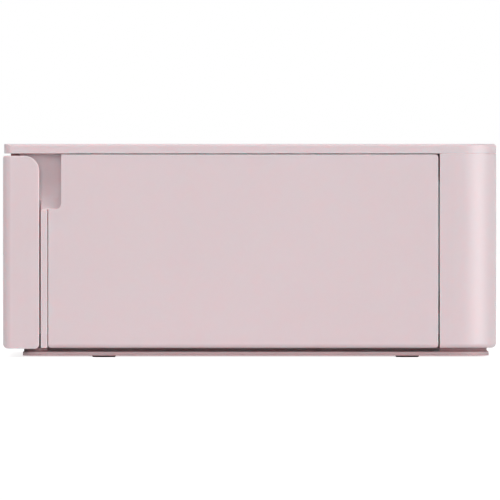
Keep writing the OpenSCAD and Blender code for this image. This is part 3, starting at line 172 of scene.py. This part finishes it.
def moulded_rubber():
    """Nitrile rubber moulded in a blasted tool: dark, dusty and without a clear reflection."""
    material, tree, shader = new_material("moulded_nitrile_rubber", {"IOR": 1.52})
    place = add(tree, "TexCoord", out="Object")
    dust = add(tree, "TexNoise", {"Vector": place, "Scale": 1 / (1.2 * MM), "Detail": 4.0})
    spark = add(tree, "TexNoise", {"Vector": place, "Scale": 1 / SPARK_GRAIN})
    feed(tree, shader, {
        "Base Color": add(tree, "Mix", {0: dust, 6: linear("4A4748"), 7: linear("6A6566")}, **COLOURS),
        "Roughness": add(tree, "MapRange", {"Value": dust, **NOISE, "To Min": 0.7, "To Max": 0.9}),
        "Normal": add(tree, "Bump", {"Height": spark, "Distance": 0.01 * MM}),
    })
    return material


def ground_rubber():
    """EPDM rubber ground round on its shaft: a velvety black with fine rings along it."""
    material, tree, shader = new_material("ground_epdm_rubber", {"IOR": 1.52})
    place = add(tree, "TexCoord", out="Object")
    round_it = add(tree, "Mapping", {"Vector": place, "Scale": (1, 0.05, 0.05)})
    rings = add(tree, "TexNoise", {"Vector": round_it, "Scale": 1 / (0.5 * MM)})
    feed(tree, shader, {
        "Base Color": add(tree, "Mix", {0: rings, 6: linear("232324"), 7: linear("2F2F30")}, **COLOURS),
        "Roughness": add(tree, "MapRange", {"Value": rings, **NOISE, "To Min": 0.6, "To Max": 0.8}),
        "Normal": add(tree, "Bump", {"Height": rings, "Distance": 0.01 * MM}),
    })
    return material


SCREEN_SIZE = (61 * MM, 46 * MM)  # the lit area of a screen of three inches
SHEET_WAVE = 30 * MM  # how far apart the faint waves of a cast sheet lie


def printed_acrylic():
    """Cast acrylic, printed black on its back round the screen: a deep gloss over two blacks."""
    material, tree, shader = new_material("printed_acrylic_window", {"IOR": 1.49, "Roughness": 0.06})
    middle = (WINDOW_LOW + WINDOW_HIGH) / 2
    place = add(tree, "TexCoord", out="Object")
    shift = add(tree, "VectorMath", {0: place, 1: (middle.x, middle.y, 0)}, operation="SUBTRACT")
    reach = add(tree, "VectorMath", {0: shift}, operation="ABSOLUTE")
    across = add(tree, "SeparateXYZ", {"Vector": reach}, out="X")
    along = add(tree, "SeparateXYZ", {"Vector": reach}, out="Y")
    in_width = add(tree, "Math", {0: across, 1: SCREEN_SIZE[0] / 2}, operation="LESS_THAN")
    in_depth = add(tree, "Math", {0: along, 1: SCREEN_SIZE[1] / 2}, operation="LESS_THAN")
    lit = add(tree, "Math", {0: in_width, 1: in_depth}, operation="MULTIPLY")
    wave = add(tree, "TexNoise", {"Vector": place, "Scale": 1 / SHEET_WAVE})
    feed(tree, shader, {
        "Base Color": add(tree, "Mix", {0: lit, 6: linear("08080A"), 7: linear("1B1E23")}, **COLOURS),
        "Normal": add(tree, "Bump", {"Height": wave, "Distance": 0.01 * MM}),
    })
    return material


def zinc_plated_sheet():
    """Cold-rolled sheet, zinc plated and cleared: a pale blue-grey metal with a faint rolling grain."""
    material, tree, shader = new_material("zinc_plated_sheet_steel", {"Metallic": 1.0})
    place = add(tree, "TexCoord", out="Object")
    rolled = add(tree, "Mapping", {"Vector": place, "Scale": (1, 0.08, 1)})
    rolling = add(tree, "TexNoise", {"Vector": rolled, "Scale": 1 / (3 * MM), "Detail": 4.0})
    feed(tree, shader, {
        "Base Color": add(tree, "Mix", {0: rolling, 6: linear("B9BEC4"), 7: linear("CDD0D2")}, **COLOURS),
        "Roughness": add(tree, "MapRange", {"Value": rolling, **NOISE, "To Min": 0.3, "To Max": 0.44}),
        "Normal": add(tree, "Bump", {"Height": rolling, "Distance": 0.004 * MM}),
    })
    return material


def ground_steel():
    """Steel bar, centreless ground and nickel plated: bright, with fine rings round the bar."""
    material, tree, shader = new_material("ground_nickel_plated_steel", {"Metallic": 1.0})
    place = add(tree, "TexCoord", out="Object")
    round_it = add(tree, "Mapping", {"Vector": place, "Scale": (1, 0.04, 0.04)})
    rings = add(tree, "TexNoise", {"Vector": round_it, "Scale": 1 / (0.4 * MM)})
    feed(tree, shader, {
        "Base Color": add(tree, "Mix", {0: rings, 6: linear("C4C2BE"), 7: linear("D6D4D0")}, **COLOURS),
        "Roughness": add(tree, "MapRange", {"Value": rings, **NOISE, "To Min": 0.16, "To Max": 0.28}),
    })
    return material


def moulded_acetal():
    """Acetal moulded in a polished tool: waxy and slightly translucent, with a soft sheen."""
    material, tree, shader = new_material("moulded_white_acetal", {
        "IOR": 1.48, "Subsurface Weight": 0.15, "Subsurface Scale": 1.0 * MM,
        "Subsurface Radius": (1.0, 1.0, 1.0),
    })
    place = add(tree, "TexCoord", out="Object")
    flow = add(tree, "TexNoise", {"Vector": place, "Scale": 1 / (6 * MM)})
    feed(tree, shader, {
        "Base Color": add(tree, "Mix", {0: flow, 6: linear("E3E1DA"), 7: linear("ECEAE4")}, **COLOURS),
        "Roughness": add(tree, "MapRange", {"Value": flow, **NOISE, "To Min": 0.3, "To Max": 0.4}),
    })
    return material


def moulded_black_abs():
    """Glass-filled black ABS: a dry, slightly mottled grey-black with the fibres just showing."""
    material, tree, shader = new_material("moulded_glass_filled_abs", {"IOR": 1.55})
    place = add(tree, "TexCoord", out="Object")
    drawn = add(tree, "Mapping", {"Vector": place, "Scale": (1, 0.3, 1)})
    fibres = add(tree, "TexNoise", {"Vector": drawn, "Scale": 1 / (0.6 * MM), "Detail": 4.0})
    feed(tree, shader, {
        "Base Color": add(tree, "Mix", {0: fibres, 6: linear("1D1D1F"), 7: linear("2B2B2D")}, **COLOURS),
        "Roughness": add(tree, "MapRange", {"Value": fibres, **NOISE, "To Min": 0.42, "To Max": 0.6}),
        "Normal": add(tree, "Bump", {"Height": fibres, "Distance": 0.006 * MM}),
    })
    return material


TRACK_PITCH = 1.27 * MM


def masked_board():
    """Glass-fibre laminate under green solder mask: glossy, with the copper tracks raised under it."""
    material, tree, shader = new_material("solder_masked_laminate", {"IOR": 1.5, "Roughness": 0.3})
    place = add(tree, "TexCoord", out="Object")
    tracks = add(tree, "TexBrick", {
        "Vector": place, "Scale": 1 / TRACK_PITCH, "Mortar Size": 0.12,
        "Brick Width": 6.0, "Row Height": 1.0, "Mortar Smooth": 0.2,
    }, out="Fac")
    feed(tree, shader, {
        "Base Color": add(tree, "Mix", {0: tracks, 6: linear("14512F"), 7: linear("2C7A49")}, **COLOURS),
        "Normal": add(tree, "Bump", {"Height": tracks, "Distance": 0.03 * MM}),
    })
    return material


def turned_brass():
    """Free-cutting brass, turned and hobbed: warm and bright with cutter marks."""
    material, tree, shader = new_material("turned_brass", {"Metallic": 1.0})
    place = add(tree, "TexCoord", out="Object")
    round_it = add(tree, "Mapping", {"Vector": place, "Scale": (1, 0.1, 0.1)})
    marks = add(tree, "TexNoise", {"Vector": round_it, "Scale": 1 / (0.3 * MM)})
    feed(tree, shader, {
        "Base Color": add(tree, "Mix", {0: marks, 6: linear("C9A24C"), 7: linear("DDBA6A")}, **COLOURS),
        "Roughness": add(tree, "MapRange", {"Value": marks, **NOISE, "To Min": 0.2, "To Max": 0.34}),
    })
    return material


def extruded_aluminium():
    """Aluminium as extruded: a pale satin metal with die lines along its length."""
    material, tree, shader = new_material("extruded_aluminium", {"Metallic": 1.0})
    place = add(tree, "TexCoord", out="Object")
    drawn = add(tree, "Mapping", {"Vector": place, "Scale": (0.03, 1, 1)})
    die_lines = add(tree, "TexNoise", {"Vector": drawn, "Scale": 1 / (0.5 * MM)})
    feed(tree, shader, {
        "Base Color": add(tree, "Mix", {0: die_lines, 6: linear("C3C5C8"), 7: linear("D8DADB")}, **COLOURS),
        "Roughness": add(tree, "MapRange", {"Value": die_lines, **NOISE, "To Min": 0.28, "To Max": 0.42}),
        "Normal": add(tree, "Bump", {"Height": die_lines, "Distance": 0.004 * MM}),
    })
    return material


def glazed_alumina():
    """Alumina with a fired glass glaze: a dark grey tile with a hard, clear gloss."""
    material, tree, shader = new_material("glazed_alumina", {"IOR": 1.6, "Coat Weight": 0.6})
    place = add(tree, "TexCoord", out="Object")
    fired = add(tree, "TexNoise", {"Vector": place, "Scale": 1 / (1.5 * MM), "Detail": 3.0})
    feed(tree, shader, {
        "Base Color": add(tree, "Mix", {0: fired, 6: linear("4A4A50"), 7: linear("5B5B60")}, **COLOURS),
        "Roughness": add(tree, "MapRange", {"Value": fired, **NOISE, "To Min": 0.2, "To Max": 0.35}),
    })
    return material


FILM_WRINKLE = 7 * MM


def dye_coated_film():
    """Polyester film coated with dye: a thin, dark magenta gloss that ripples across its width."""
    material, tree, shader = new_material("dye_coated_polyester_film", {"IOR": 1.6})
    place = add(tree, "TexCoord", out="Object")
    drawn = add(tree, "Mapping", {"Vector": place, "Scale": (1, 0.25, 0.25)})
    ripple = add(tree, "TexNoise", {"Vector": drawn, "Scale": 1 / FILM_WRINKLE})
    feed(tree, shader, {
        "Base Color": add(tree, "Mix", {0: ripple, 6: linear("3B1230"), 7: linear("5A1D45")}, **COLOURS),
        "Roughness": add(tree, "MapRange", {"Value": ripple, **NOISE, "To Min": 0.12, "To Max": 0.24}),
        "Normal": add(tree, "Bump", {"Height": ripple, "Distance": 0.05 * MM}),
    })
    return material


def printed_ink():
    """Pad-printed ink on a key: opaque and matt, a little uneven at this size."""
    material, tree, shader = new_material("pad_printed_ink", {"IOR": 1.5})
    place = add(tree, "TexCoord", out="Object")
    film = add(tree, "TexNoise", {"Vector": place, "Scale": 1 / (0.4 * MM)})
    feed(tree, shader, {
        "Base Color": add(tree, "Mix", {0: film, 6: linear("7B6266"), 7: linear("856B6F")}, **COLOURS),
        "Roughness": add(tree, "MapRange", {"Value": film, **NOISE, "To Min": 0.5, "To Max": 0.6}),
    })
    return material


# the last colour of each moulding is the painted shade in its seams
shell_abs = moulded_abs("moulded_rose_abs", "E0CDD1", "E3D1D5", "E8A0A4", rough=0.46)
# painted highlight: the same plastic painted paler, for its rounded edges where they catch light
edge_highlight_abs = moulded_abs("moulded_rose_abs_painted_edge_highlight", "FADFE2", "FCE2E5", "F0B8BC", rough=0.4)
# painted shade: the base is the shell's plastic painted darker, for the shade it lies in under the case
shaded_base_abs = moulded_abs("moulded_rose_abs_painted_shade", "B89C9F", "BCA1A4", "B86468", rough=0.52)
key_abs = moulded_abs("moulded_key_abs", "D9C3C8", "DDC9CD", "D9A4AA", rough=0.38)
cassette_abs = moulded_abs("moulded_grey_abs", "C9C8C6", "D2D1CF", "C0BAB4", rough=0.42)
foot_rubber = moulded_rubber()
roller_rubber = ground_rubber()
window_acrylic = printed_acrylic()
sheet_steel = zinc_plated_sheet()
bar_steel = ground_steel()
white_acetal = moulded_acetal()
black_abs = moulded_black_abs()
board_laminate = masked_board()
pinion_brass = turned_brass()
sink_aluminium = extruded_aluminium()
head_ceramic = glazed_alumina()
ribbon_film = dye_coated_film()
key_ink = printed_ink()

# ---- Pieces ----

EDGE_SEGMENTS = 3
FLAT = math.radians(0.5)  # faces that turn less than this from their neighbour become one
CORNER = math.radians(28)  # an edge that turns more than this is sharp
DOOR_SKIN = SIDE_X - 0.1 * MM  # the door's inner edges stay sharp, where its hinge cheeks cross them


def body_of(node):
    """The body that a node belongs to."""
    bodies = frame["record"]["behaviour"]["bodies"]
    return next(body for body, nodes in bodies.items() if node in nodes)


def link(name, mesh, material, body, smooth=True):
    """A new piece in the scene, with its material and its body."""
    piece = bpy.data.objects.new(name, mesh)
    bpy.context.scene.collection.objects.link(piece)
    mesh.materials.clear()
    mesh.materials.append(material)
    for polygon in mesh.polygons:
        polygon.use_smooth = smooth
    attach(piece, body)
    return piece


def mark_edges(shape, least_x):
    """Marks the sharp edges that stand out, from some place on, and not the inner corners."""
    weight = shape.edges.layers.float.new("bevel_weight_edge")
    for edge in shape.edges:
        seen = min(corner.co.x for corner in edge.verts) > least_x
        edge[weight] = float(seen and edge.is_convex and edge.calc_face_angle() > CORNER)


def round_edges(piece, radius):
    """Gives the piece's marked edges the small radius that a moulding or pressing has."""
    bevel = piece.modifiers.new("edge radius", "BEVEL")
    bevel.width = radius
    bevel.segments = EDGE_SEGMENTS
    bevel.limit_method = "WEIGHT"
    bevel.use_clamp_overlap = False
    bevel.material = len(piece.data.materials) - 1  # the last one is for the edges; on shell pieces it is the paler one, a painted highlight
    bevel.miter_outer = "MITER_ARC"
    weighted = piece.modifiers.new("flat faces stay flat", "WEIGHTED_NORMAL")
    weighted.keep_sharp = True


def softened(node, name, radius, material, edge=None):
    """The node's own shape with rounded edges, which stands for it; the edges may have their own material, a
    paler one that paints a highlight on them.
    """
    mesh = frame["nodes"][node].data.copy()
    mesh.name = name
    shape = bmesh.new()
    shape.from_mesh(mesh)
    bmesh.ops.remove_doubles(shape, verts=shape.verts, dist=0.001 * MM)
    bmesh.ops.dissolve_limit(shape, angle_limit=FLAT, verts=shape.verts, edges=shape.edges)
    mark_edges(shape, DOOR_SKIN if node == "ink_door" else -math.inf)
    shape.to_mesh(mesh)
    shape.free()
    piece = link(name, mesh, material, body_of(node))
    if edge:
        mesh.materials.append(edge)
    round_edges(piece, radius)
    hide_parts(node)


# Nodes shown through their own shape: the new piece's name, its edge radius in millimetres and its finish
SOFTENED = [
    ("outer_case", "case_moulding", 0.2, shell_abs, "shell"),
    ("top_cover", "lid_moulding", 0.12, shell_abs, "shell"),
    ("front_frame", "front_frame_moulding", 0.2, shell_abs, "shell"),
    ("bay_frame", "bay_frame_moulding", 0.25, shell_abs, "shell"),
    ("front_cover", "front_cover_moulding", 0.25, shell_abs, "shell"),
    ("ink_door", "ink_door_moulding", 0.1, shell_abs, "shell"),
    ("base_tray", "base_moulding", 0.2, shaded_base_abs, "base"),
    ("feet", "rubber_feet", 0.2, foot_rubber, "foot"),
]

# shell pieces take the paler edge material: a painted highlight on their rounded edges
for node, name, radius, material, slot in SOFTENED:
    softened(node, name, radius * MM, material, edge_highlight_abs if material == shell_abs else None)

# Nodes shown as they are
CARRIED = [
    (sheet_steel, [
        "chassis_left", "chassis_right", "chassis_tie", "gear_plate", "lcd_bracket", "card_slot",
        "usb_port", "head_bracket", "feed_motor",
    ]),
    (bar_steel, ["base_screws", "cross_shafts", "capstan_roller", "platen_shaft", "head_springs"]),
    (white_acetal, [
        "roller_bearings", "reduction_gear", "capstan_gear", "ribbon_drive", "head_cam",
        "pickup_arm", "release_lever",
    ]),
    (black_abs, ["board_parts", "dc_inlet", "paper_guide", "path_guide", "fan_housing", "fan_rotor"]),
    (board_laminate, ["key_board", "main_board"]),
    (window_acrylic, ["lcd_window"]),
    (sink_aluminium, ["lcd_module", "head_heatsink"]),
    (pinion_brass, ["motor_pinion"]),
    (roller_rubber, ["pinch_roller", "platen_roller", "pickup_roller"]),
    (head_ceramic, ["head_strip"]),
    (cassette_abs, ["cassette_shell"]),
    (ribbon_film, ["supply_spool", "take_up_spool", "ribbon_film"]),
]

for material, nodes in CARRIED:
    for node in nodes:
        carried = frame["nodes"][node]
        carried.data.materials.clear()
        carried.data.materials.append(material)

KEYS = ["power", "home", "back", "edit", "print", "ok", "up", "down", "left", "right"]
KEY_EDGE = 0.3 * MM

for key in KEYS:
    softened(key + "_key", key + "_key_cap", KEY_EDGE, key_abs)

# ---- Marks printed on the keys ----
# Plain signs, in millimetres from the middle of their key: lines of one width, and filled areas.

INK_FILM = 0.03 * MM  # how far the ink stands up from the key
LINE_WIDTH = 0.4


def arc(radius, start, end, middle=(0, 0), steps=20):
    """Points along an arc, its angles in degrees."""
    angles = [math.radians(start + (end - start) * i / steps) for i in range(steps + 1)]
    return [(middle[0] + radius * math.cos(a), middle[1] + radius * math.sin(a)) for a in angles]


def arrow(turn, size=1.2):
    """A triangle that points up, turned by some quarter turns."""
    return arc(size, 90 + 90 * turn, 450 + 90 * turn, steps=3)[:3]


RING = 1.7
RING_SIDES = 40
HALF_SIDE = 180 / RING_SIDES  # in degrees
RING_START = (RING * math.cos(math.radians(HALF_SIDE)), 0)  # the middle of the ring's first side
HALF_LINE = LINE_WIDTH / 2
PLUS_END = 1.3


def plus():
    """The outline of a plus sign, a quarter at a time."""
    outline = []
    quarter = [(PLUS_END, HALF_LINE), (HALF_LINE, HALF_LINE), (HALF_LINE, PLUS_END)]
    for _ in range(4):
        outline += quarter
        quarter = [(-y, x) for x, y in quarter]
    return outline


LINES = {
    "power": [arc(1.4, 125, 415), [(0, 0.3), (0, 1.9)]],
    "home": [[(0, -1.2), (1.2, -1.2), (1.2, 0.2), (0, 1.4), (-1.2, 0.2), (-1.2, -1.2), (0, -1.2)]],
    "back": [[(-0.8, 0.7), *arc(0.85, 90, -90, (0.6, -0.15)), (-1.0, -1.0)]],
    "print": [[(0, 1.9), (-1.4, 1.9), (-1.4, -1.9), (1.4, -1.9), (1.4, 1.9), (0, 1.9)]],
    "ok": [[RING_START, *arc(RING, HALF_SIDE, 360 - HALF_SIDE, steps=RING_SIDES - 1), RING_START]],
}
AREAS = {
    "edit": [plus()],
    "back": [[(-0.9, 1.5), (-1.9, 0.7), (-0.9, -0.1)]],
    "print": [[(-0.9, -1.1), (0.9, -1.1), (0.9, 0.3), (-0.9, 0.3)]],
    "up": [arrow(0)], "left": [arrow(1)], "down": [arrow(2)], "right": [arrow(3)],
}


def line_sides(points):
    """The right and left sides of a line, mitred at its corners."""
    points = [Vector(p) for p in points]
    ways = [(b - a).normalized() for a, b in zip(points, points[1:])]
    sides = []
    for point, before, after in zip(points, ways[:1] + ways, ways + ways[-1:]):
        outward = Vector((before.y, -before.x))
        mitre = (outward + Vector((after.y, -after.x))).normalized()
        reach = mitre * HALF_LINE / mitre.dot(outward)
        sides.append((point + reach, point - reach))
    return sides


def print_mark(key):
    """The sign on a key, as a film of ink that stands a little above it."""
    low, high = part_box(key + "_key")
    middle = (low + high) / 2
    shape = bmesh.new()
    outlines = [[Vector(p) for p in area] for area in AREAS.get(key, [])]
    for line in LINES.get(key, []):
        sides = line_sides(line)
        outlines += [[a[0], b[0], b[1], a[1]] for a, b in zip(sides, sides[1:])]
    for outline in outlines:
        place = [(middle.x + p.x * MM, middle.y + p.y * MM, high.z) for p in outline]
        shape.faces.new([shape.verts.new(p) for p in place])
    bmesh.ops.remove_doubles(shape, verts=shape.verts, dist=0.001 * MM)
    bmesh.ops.recalc_face_normals(shape, faces=shape.faces)
    mesh = bpy.data.meshes.new(key + "_mark")
    shape.to_mesh(mesh)
    shape.free()
    mark = link(key + "_mark", mesh, key_ink, body_of(key + "_key"), smooth=False)
    film = mark.modifiers.new("ink film", "SOLIDIFY")
    film.thickness = 2 * INK_FILM
    film.offset = 0


for key in KEYS:
    print_mark(key)

# ---- Floor, world and lamps ----

FLOOR_SIZE = 12.0
BACKGROUND = 1.0  # white, where the background itself is seen
AMBIENT = 0.28  # what the world adds to the lamps on the object
FLOOR_GLOW = 0.8  # how much white the floor gives of itself in the camera's view


def seen_directly(tree):
    """1 for rays that show the background itself: from the camera, in a gloss or through glass."""
    camera = add(tree, "LightPath", out="Is Camera Ray")
    gloss = add(tree, "LightPath", out="Is Glossy Ray")
    through = add(tree, "LightPath", out="Is Transmission Ray")
    either = add(tree, "Math", {0: camera, 1: gloss}, operation="MAXIMUM")
    return add(tree, "Math", {0: either, 1: through}, operation="MAXIMUM")


def make_world():
    """A white studio that shows white round the object and lights it only a little."""
    world = bpy.data.worlds.new("studio")
    bpy.context.scene.world = world
    world.use_nodes = True
    tree = world.node_tree
    sky = tree.nodes["Background"]
    strength = add(tree, "MapRange", {"Value": seen_directly(tree), "To Min": AMBIENT, "To Max": BACKGROUND})
    tree.links.new(strength, sky.inputs["Strength"])
    sky.inputs["Color"].default_value = (1, 1, 1, 1)


def make_floor():
    """A pale paper floor that shows white and keeps the shadow."""
    mesh = bpy.data.meshes.new("floor")
    half = FLOOR_SIZE / 2
    corners = [(-half, -half, 0), (half, -half, 0), (half, half, 0), (-half, half, 0)]
    mesh.from_pydata(corners, [], [(0, 1, 2, 3)])
    floor = bpy.data.objects.new("floor", mesh)
    bpy.context.scene.collection.objects.link(floor)
    material, tree, shader = new_material("white_paper_floor", {
        "Base Color": (0.8, 0.8, 0.8, 1), "Roughness": 0.9, "Specular IOR Level": 0.0,
        "Emission Color": (1, 1, 1, 1),
    })
    glow = add(tree, "MapRange", {"Value": seen_directly(tree), "To Min": 0.0, "To Max": FLOOR_GLOW})
    feed(tree, shader, {"Emission Strength": glow})
    mesh.materials.append(material)


def softbox(name, place, size, power, lights=True):
    """A rectangular lamp aimed at the door; one that lights nothing only shows as a soft highlight."""
    lamp = bpy.data.lights.new(name, "AREA")
    lamp.shape = "RECTANGLE"
    lamp.size, lamp.size_y = size
    lamp.energy = power
    holder = bpy.data.objects.new(name, lamp)
    bpy.context.scene.collection.objects.link(holder)
    holder.location = place
    aim = Vector((SIDE_X, 0, TOP_Z / 2)) - holder.location
    holder.rotation_euler = aim.to_track_quat("-Z", "Y").to_euler()
    holder.visible_diffuse = lights


make_world()
make_floor()

# Places and sizes in metres, powers in watts
softbox("overhead", (0.3, 0.0, 1.6), (1.6, 1.6), 5)
softbox("rear_side", (0.8, 1.35, 0.4), (0.7, 0.7), 5.4)
softbox("rear", (0.3, 1.55, 0.4), (0.7, 0.7), 3.4)
softbox("front_side", (1.0, -1.2, 0.5), (0.7, 0.7), 3)
softbox("facing_door", (1.6, -0.1, 0.4), (0.8, 0.8), 6.8)
softbox("rear_gloss", (0.36, 1.55, 0.1), (0.7, 1.0), 17, lights=False)
softbox("rear_side_gloss", (0.75, 1.35, 0.1), (0.7, 1.0), 10.5, lights=False)
softbox("overhead_gloss", (0.15, 0.0, 1.6), (0.9, 1.2), 20, lights=False)
